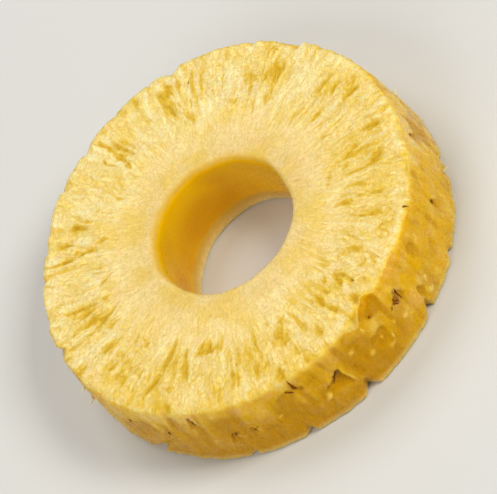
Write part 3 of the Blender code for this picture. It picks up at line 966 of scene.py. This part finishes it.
def grow_strand(mesh, path, thickness):
    """A round strand along a path, a list of places, thinning to its far end."""
    shade = mesh.verts.layers.float.get("tip") or mesh.verts.layers.float.new("tip")
    last = len(path) - 1
    frames = []
    for index, place in enumerate(path):
        ahead = path[min(index + 1, last)] - path[max(index - 1, 0)]
        turned = ahead.to_track_quat("Z", "Y").to_matrix().to_4x4()
        width = thickness * MM * (1 - STRAND_TAPER * (index / last) ** TAPER_POWER)
        frames.append(Matrix.Translation(place) @ turned @ Matrix.Scale(width, 4))
    ring = bmesh.ops.create_circle(
        mesh, cap_ends=True, segments=STRAND_SIDES, radius=0.5, matrix=frames[0]
    )["verts"]
    edges = list({edge for vertex in ring for edge in vertex.link_edges})
    for index in range(1, len(frames)):
        made = bmesh.ops.extrude_edge_only(mesh, edges=edges)["geom"]
        ring = [item for item in made if isinstance(item, bmesh.types.BMVert)]
        edges = [item for item in made if isinstance(item, bmesh.types.BMEdge)]
        edges = [edge for edge in edges if all(vertex in ring for vertex in edge.verts)]
        step = frames[index] @ frames[index - 1].inverted()
        bmesh.ops.transform(mesh, matrix=step, verts=ring)
        for vertex in ring:
            vertex[shade] = index / last
    bmesh.ops.edgeloop_fill(mesh, edges=edges)


def wall_path(surface, start, end, steps, arch):
    """Places along the wall between two (angle, height) pairs, bowed off it in the middle."""
    path = []
    for step in range(steps + 1):
        share = step / steps
        angle, height = blend(start[0], end[0], share), blend(start[1], end[1], share)
        path.append(surface.on_wall(angle, height, arch * math.sin(math.pi * share)))
    return path


def face_path(surface, angle, radius, length, lean):
    """Places along the upper face through an angle and a radius."""
    path = []
    for step in range(4):
        along = length * (step / 3 - 0.5)
        across = math.degrees(along * math.sin(math.radians(lean)) / radius)
        out = radius + along * math.cos(math.radians(lean))
        path.append(surface.on_face(angle + across, out))
    return path


def fibre_tufts(surface):
    """Brown fibres in the scars and specks on the face, as one mesh."""
    draw = random.Random(21)
    mesh = bmesh.new()
    for angle, height, end_angle, end_height, thickness in FIBRES:
        path = wall_path(surface, (angle, height), (end_angle, end_height), 4, 0.12)
        grow_strand(mesh, path, thickness)
    for angle, tip, count, length, fan in TUFTS:
        for index in range(count):
            turn = fan * ((index + 0.5) / count - 0.5) + draw.gauss(0, 0.1)
            end = (angle + turn, tip - length * draw.uniform(0.6, 1))
            start = (angle + 0.3 * turn, tip)
            path = wall_path(surface, start, end, 3, draw.uniform(0.05, 0.2))
            grow_strand(mesh, path, draw.uniform(0.18, 0.3))
    for *line, thickness in SPECKS:
        grow_strand(mesh, face_path(surface, *line), thickness)
    return finished_mesh(mesh, "eye_fibres")


def rim_spines(surface):
    """Short pale spines standing out from the rim, as one mesh."""
    mesh = bmesh.new()
    for angle, height, length, sideways, upward in SPINES:
        lift = math.radians(upward)
        ahead = polar(angle + sideways, math.cos(lift), math.sin(lift))
        start = surface.on_wall(angle, height, -SPINE_ROOT_DEPTH)
        path = []
        for step in range(6):
            share = step / 5
            curl = Vector((0, 0, SPINE_CURL * share * share))
            path.append(start + (ahead * (length + SPINE_ROOT_DEPTH) * share + curl) * MM)
        grow_strand(mesh, path, SPINE_THICKNESS)
    return finished_mesh(mesh, "rim_spines")


# ---- materials


def linear(red, green, blue):
    """A display colour, 0 to 255 a channel, as the linear colour that shaders take."""
    channels = []
    for value in (red, green, blue):
        value /= 255
        if value <= 0.04045:
            channels.append(value / 12.92)
        else:
            channels.append(((value + 0.055) / 1.055) ** 2.4)
    return (*channels, 1)


# Flesh of the cut faces.
CREAM = linear(253, 229, 164)
YELLOW = linear(248, 216, 116)
PEACH = linear(252, 218, 150)
STRAW = linear(228, 198, 110)
PALE = linear(255, 238, 182)
WARM = linear(233, 196, 76)
DEEP = linear(218, 173, 44)
# Flesh of the wall and of the hole.
EDGE_YELLOW = linear(244, 208, 88)
WALL_GOLD = linear(232, 180, 0)
WALL_PALE = linear(244, 202, 80)
WALL_BLUSH = linear(238, 187, 84)
# Painted highlight of the wall's glints and of the glow along its foot.
WALL_PAINTED_HIGHLIGHT = linear(250, 214, 132)
WALL_DEEP = linear(207, 150, 0)
HOLE_LIP = linear(212, 172, 66)
HOLE_GOLD = linear(238, 190, 0)
# The bore's deeper gold, mostly painted shade.
HOLE_SHADE_AND_TONE = linear(213, 155, 0)
# Painted shade lines of the face, then scars and fibres.
OLIVE_SHADE_LINE = linear(200, 160, 50)
BROWN = linear(150, 84, 8)
FIBRE_BROWN = linear(150, 74, 8)
FIBRE_DARK = linear(84, 26, 4)
SPINE_ROOT = linear(214, 150, 60)
SPINE_TIP = linear(226, 226, 190)
# The board under the ring.
FLOOR_GREY = linear(207, 206, 202)
FLOOR_PALE = linear(210, 209, 205)

# How much of each channel is left on the face towards the hole: painted shade.
NEAR_HOLE_SHADE = (0.865, 0.84, 0.8)
# Height of the finest relief, which the material gives.
BUMP_HEIGHT = 0.27
# The radius at which fibres' widths round the ring are true.
FIBRE_ARM = 32


class Nodes:
    """A short way to write a material's node tree."""

    def __init__(self, name):
        self.material = bpy.data.materials.new(name)
        self.material.use_nodes = True
        self.tree = self.material.node_tree
        self.shader = self.tree.nodes["Principled BSDF"]
        self.place = self.add("TexCoord").outputs["Object"]

    def add(self, kind, **settings):
        made = self.tree.nodes.new("ShaderNode" + kind)
        for name, value in settings.items():
            setattr(made, name, value)
        return made

    def feed(self, target, value):
        if isinstance(value, bpy.types.NodeSocket):
            self.tree.links.new(value, target)
        else:
            target.default_value = value

    def feed_all(self, made, values):
        for socket, value in zip(made.inputs, values):
            self.feed(socket, value)
        return made.outputs[0]

    def set(self, name, value):
        self.feed(self.shader.inputs[name], value)

    def maths(self, operation, *values):
        return self.feed_all(self.add("Math", operation=operation), values)

    def vector(self, operation, *values):
        made = self.add("VectorMath", operation=operation)
        self.feed_all(made, values)
        return made.outputs["Value" if operation == "LENGTH" else "Vector"]

    def mix(self, share, first, second):
        made = self.add("Mix", data_type="RGBA")
        self.feed(made.inputs[0], share)
        self.feed(made.inputs[6], first)
        self.feed(made.inputs[7], second)
        return made.outputs[2]

    def layers(self, colour, *rows):
        """Lay colours over the first one, each as strong as its value rises between two levels."""
        for value, start, end, strongest, shade in rows:
            colour = self.mix(self.rise(value, start, end, 0, strongest), colour, shade)
        return colour

    def rise(self, value, start, end, low_value=0, high_value=1):
        made = self.add("MapRange", interpolation_type="SMOOTHSTEP")
        return self.feed_all(made, (value, start, end, low_value, high_value))

    def attribute(self, name):
        return self.add("Attribute", attribute_name=name).outputs["Fac"]

    def noise(self, places, scale, detail=2, roughness=0.5, distortion=0):
        made = self.add("TexNoise")
        self.feed(made.inputs["Vector"], places)
        self.feed(made.inputs["Scale"], scale)
        self.feed(made.inputs["Detail"], detail)
        self.feed(made.inputs["Roughness"], roughness)
        self.feed(made.inputs["Distortion"], distortion)
        return made.outputs["Fac"]

    def height(self):
        split = self.add("SeparateXYZ")
        self.feed(split.inputs[0], self.place)
        return split.outputs["Z"]

    def from_axis(self):
        return self.vector("MULTIPLY", self.place, (1, 1, 0))

    def along_fibres(self, across, along):
        """Coordinates in which one step is a fibre's width across and its length along."""
        flat = self.from_axis()
        outwards = self.maths("ADD", self.vector("LENGTH", flat), self.height())
        around = self.vector("NORMALIZE", flat)
        around = self.vector("MULTIPLY", around, [FIBRE_ARM / across] * 3)
        join = self.add("CombineXYZ")
        self.feed(join.inputs["Z"], self.maths("MULTIPLY", outwards, 1 / (along * MM)))
        return self.vector("ADD", around, join.outputs[0])


def thin_lines(nodes, value, width):
    """One along the middle level of a noise and zero away from it."""
    away = nodes.maths("ABSOLUTE", nodes.maths("SUBTRACT", value, 0.5))
    return nodes.rise(away, 0, width, 1, 0)


def face_colour(nodes, warm, pale, fibres, specks, lines):
    """Cream and yellow in soft blotches, straw in the fine furrows, partly painted shade along the
    thin lines, gold in the hollows.
    """
    blotches = nodes.noise(nodes.place, 110, 3, 0.55)
    blush = nodes.noise(nodes.place, 190)
    colour = nodes.layers(
        CREAM,
        (blotches, 0.38, 0.66, 1, YELLOW),
        (blush, 0.52, 0.75, 0.7, PEACH),
        (fibres, 0.5, 0.75, 0.5, STRAW),
        (specks, 0.58, 0.76, 0.3, STRAW),
    )
    # Painted shade: the thin sunk lines are also darkened to straw.
    colour = nodes.mix(nodes.maths("MULTIPLY", lines, 0.6), colour, STRAW)
    return nodes.layers(
        colour, (pale, 0, 0.9, 0.8, PALE), (warm, 0.02, 0.9, 1, WARM), (warm, 0.6, 1.35, 1, DEEP)
    )


def wall_colour(nodes, warm, pale):
    """Gold with paler fibrous lumps, a little blush and deeper hollows, a painted highlight on the
    palest lumps and beads and a painted glow along the foot.
    """
    clouds = nodes.noise(nodes.place, 160, 3, 0.6)
    blush = nodes.noise(nodes.place, 230, 3, 0.6, 0.6)
    streaks = nodes.noise(nodes.along_fibres(0.7, 3.4), 1, 3, 0.6)
    flecks = nodes.noise(nodes.place, 620, 2, 0.6, 0.6)
    lighter = nodes.maths("ADD", nodes.rise(clouds, 0.47, 0.68, 0, 0.6), pale)
    lighter = nodes.maths("ADD", lighter, nodes.rise(streaks, 0.52, 0.75, 0, 0.35))
    lighter = nodes.maths("ADD", lighter, nodes.rise(flecks, 0.52, 0.7, 0, 0.15))
    colour = nodes.layers(
        WALL_GOLD,
        (lighter, 0, 1.1, 1, WALL_PALE),
        (blush, 0.53, 0.66, 0.9, WALL_BLUSH),
        (warm, 0.1, 1, 1, WALL_DEEP),
    )
    # Painted light: a glow along the foot and a highlight where the pale share is highest.
    foot = nodes.rise(nodes.height(), 0.3 * MM, 2.4 * MM, 0.65, 0)
    shine = nodes.maths("MAXIMUM", nodes.rise(pale, 0.55, 1, 0, 0.5), foot)
    return nodes.mix(shine, colour, WALL_PAINTED_HIGHLIGHT)


def flesh_material():
    """Moist, slightly translucent flesh, cream on the faces and gold down the walls."""
    nodes = Nodes("pineapple_flesh")
    grain = nodes.noise(nodes.place, 1100, 2, 0.55)
    beads = nodes.noise(nodes.place, 520, 2, 0.5, 0.8)
    meander = nodes.noise(nodes.place, 640, 1, 0.5, 0.7)
    wander = nodes.noise(nodes.along_fibres(0.8, 2), 1, 1, 0.5, 0.8)
    fibres = nodes.noise(nodes.along_fibres(0.75, 1.9), 1, 3, 0.6, 1)
    specks = nodes.noise(nodes.along_fibres(0.45, 0.6), 1, 2, 0.6, 0.5)
    lines = nodes.maths(
        "MAXIMUM", thin_lines(nodes, meander, 0.045), thin_lines(nodes, wander, 0.05)
    )
    warm = nodes.maths("MULTIPLY", nodes.attribute("warm"), WARM_RANGE)
    pale, brown = nodes.attribute("pale"), nodes.attribute("brown")
    side, core = nodes.attribute("side"), nodes.attribute("core")

    face = face_colour(nodes, warm, pale, fibres, specks, lines)
    # Painted shade: the face is darker towards the hole, but not low down in the bore.
    shaded_near_hole = nodes.vector("MULTIPLY", face, NEAR_HOLE_SHADE)
    reach = nodes.vector("LENGTH", nodes.from_axis())
    unshaded = nodes.maths(
        "MAXIMUM",
        nodes.rise(reach, 18 * MM, 32 * MM),
        nodes.rise(nodes.height(), 2 * MM, 8 * MM, 1, 0),
    )
    colour = nodes.layers(
        nodes.mix(unshaded, shaded_near_hole, face),
        (side, 0, 0.5, 1, EDGE_YELLOW),
        (side, 0.3, 1, 1, wall_colour(nodes, warm, pale)),
        (core, 0, 0.8, 1, HOLE_LIP),
        (core, 0.75, 1, 1, nodes.layers(HOLE_GOLD, (warm, 0, 0.5, 1, HOLE_SHADE_AND_TONE))),
    )
    # Brown of the scars on the wall; on the face, olive painted shade lines.
    scar = nodes.mix(side, OLIVE_SHADE_LINE, BROWN)
    nodes.set("Base Color", nodes.mix(nodes.maths("MULTIPLY", brown, 0.75), colour, scar))
    nodes.set("Roughness", nodes.rise(grain, 0.3, 0.7, 0.18, 0.38))

    relief = specks
    for part, height in ((fibres, 0.6), (beads, 0.9), (lines, -0.55), (grain, 0.35)):
        relief = nodes.maths("MULTIPLY_ADD", part, height, relief)
    sleek = nodes.maths("MAXIMUM", core, nodes.maths("MULTIPLY", side, 0.4))
    strength = nodes.maths(
        "MULTIPLY",
        nodes.rise(sleek, 0, 1, 0.95, 0.1),
        nodes.rise(reach, 22 * MM, 34 * MM, 0.6, 1),
    )
    bumps = nodes.add("Bump")
    nodes.feed(bumps.inputs["Strength"], strength)
    nodes.feed(bumps.inputs["Distance"], BUMP_HEIGHT * MM)
    nodes.feed(bumps.inputs["Height"], relief)
    nodes.set("Normal", bumps.outputs["Normal"])

    wet = nodes.rise(nodes.noise(nodes.place, 260), 0.56, 0.63)
    moist = nodes.maths("MULTIPLY_ADD", side, 0.15, 0.15)
    moist = nodes.maths("MULTIPLY", moist, nodes.maths("SUBTRACT", 1, core))
    nodes.set("Coat Weight", nodes.maths("MULTIPLY", wet, moist))
    nodes.set("Coat Roughness", 0.08)
    nodes.set("Specular IOR Level", 0.2)
    nodes.set("Specular Tint", (1, 0.8, 0.3, 1))
    nodes.set("Subsurface Weight", nodes.rise(side, 0, 1, 0.55, 0.85))
    nodes.set("Subsurface Radius", (1, 0.74, 0.14))
    nodes.set("Subsurface Scale", 2.9 * MM)
    return nodes.material


def strand_material(name, tip_share, mottle_share, change, colours, roughness):
    """A dry strand that changes from its root's colour to its tip's."""
    nodes = Nodes(name)
    mottle = nodes.noise(nodes.place, 1500)
    shade = nodes.maths("MULTIPLY", nodes.attribute("tip"), tip_share)
    shade = nodes.maths("MULTIPLY_ADD", mottle, mottle_share, shade)
    nodes.set("Base Color", nodes.mix(nodes.rise(shade, *change), *colours))
    nodes.set("Roughness", nodes.rise(mottle, 0.3, 0.7, *roughness))
    return nodes


def fibre_material():
    """Dry brown fibres, darker towards the tip."""
    colours = (FIBRE_BROWN, FIBRE_DARK)
    nodes = strand_material("brown_fibre", 0.6, 1, (0.4, 1.2), colours, (0.5, 0.7))
    nodes.set("Specular IOR Level", 0.1)
    return nodes.material


def spine_material():
    """Horny spines, orange at the root and pale at the tip."""
    colours = (SPINE_ROOT, SPINE_TIP)
    nodes = strand_material("pale_spine", 1, 0.25, (0.25, 0.6), colours, (0.3, 0.45))
    nodes.set("Subsurface Weight", 0.3)
    nodes.set("Subsurface Scale", 0.5 * MM)
    return nodes.material


def floor_material():
    """Plain pale board."""
    nodes = Nodes("pale_floor")
    shade = nodes.rise(nodes.noise(nodes.place, 6), 0.3, 0.7)
    nodes.set("Base Color", nodes.mix(shade, FLOOR_GREY, FLOOR_PALE))
    nodes.set("Roughness", 0.7)
    return nodes.material


# ---- pieces


def show(name, mesh, material):
    """Put a finished mesh in the scene."""
    mesh.materials.append(material)
    mesh.shade_smooth()
    made = bpy.data.objects.new(name, mesh)
    bpy.context.scene.collection.objects.link(made)
    return made


def add_fruit():
    """The ring of flesh in place of the plain solid, with its fibres and spines."""
    mesh = spun_ring("ring_flesh")
    shape_ring(mesh)
    ring = show("ring_flesh", mesh, flesh_material())
    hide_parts(NODE)
    surface = Surface(mesh)
    fibres = show("eye_fibres", fibre_tufts(surface), fibre_material())
    spines = show("rim_spines", rim_spines(surface), spine_material())
    for piece in (ring, fibres, spines):
        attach(piece, "root")


# ---- setting


# Lengths in metres, but the sensor's in millimetres.
CAMERA_DISTANCE = 1.4
CAMERA_ELEVATION = 48.2
CAMERA_ROLL = 47
SENSOR_WIDTH = 36
VIEW_WIDTH = 0.106
AIM_RIGHT = 0.00095
AIM_UP = -0.00044
FLOOR_SIZE = 12
FLOOR_GAP = 0.0002


def add_floor():
    """A wide pale floor just under the ring."""
    mesh = bmesh.new()
    bmesh.ops.create_grid(mesh, x_segments=1, y_segments=1, size=FLOOR_SIZE / 2)
    bmesh.ops.translate(mesh, verts=mesh.verts, vec=(0, 0, low.z - FLOOR_GAP))
    floor = show("floor", finished_mesh(mesh, "floor"), floor_material())


def add_camera():
    """A long lens looking down on the near side, rolled so that the ring leans."""
    elevation = math.radians(CAMERA_ELEVATION)
    back = polar(-90, math.cos(elevation), math.sin(elevation))
    roll = Matrix.Rotation(math.radians(-CAMERA_ROLL), 3, back)
    right = roll @ Vector((1, 0, 0))
    above = back.cross(right)
    turned = Matrix((right, above, back)).transposed().to_4x4()
    aim = (low + high) / 2 + right * AIM_RIGHT + above * AIM_UP
    data = bpy.data.cameras.new("camera")
    data.sensor_width = SENSOR_WIDTH
    data.lens = SENSOR_WIDTH * CAMERA_DISTANCE / VIEW_WIDTH
    data.clip_start = 0.01
    data.clip_end = 100
    camera = bpy.data.objects.new("camera", data)
    camera.matrix_world = Matrix.Translation(aim + back * CAMERA_DISTANCE) @ turned
    bpy.context.scene.collection.objects.link(camera)
    bpy.context.scene.camera = camera


def add_softbox(name, turn, elevation, distance, size, power, colour=(1, 1, 1)):
    """A square studio light aimed at the ring, placed by two angles and metres from it."""
    elevation = math.radians(elevation)
    place = distance * polar(turn, math.cos(elevation), math.sin(elevation))
    data = bpy.data.lights.new(name, "AREA")
    data.shape = "SQUARE"
    data.size = size
    data.energy = power
    data.color = colour
    lamp = bpy.data.objects.new(name, data)
    lamp.location = place
    lamp.rotation_euler = place.to_track_quat("Z", "Y").to_euler()
    lamp.visible_camera = False
    bpy.context.scene.collection.objects.link(lamp)


def add_lights():
    """Soft studio light: a key from the near right, a fill from the left and one above."""
    add_softbox("key", 324, 46, 1.05, 0.35, 6.6, (1, 0.98, 0.93))
    add_softbox("top", 90, 62, 0.6, 0.33, 1.37)
    add_softbox("fill", 215, 40, 1.1, 0.6, 4, (1, 0.98, 0.95))
    world = bpy.data.worlds.new("studio")
    world.use_nodes = True
    background = world.node_tree.nodes["Background"]
    background.inputs["Color"].default_value = (0.8, 0.8, 0.78, 1)
    background.inputs["Strength"].default_value = 0.34
    bpy.context.scene.world = world
    bpy.context.scene.view_settings.view_transform = "Standard"


add_fruit()
add_floor()
add_camera()
add_lights()
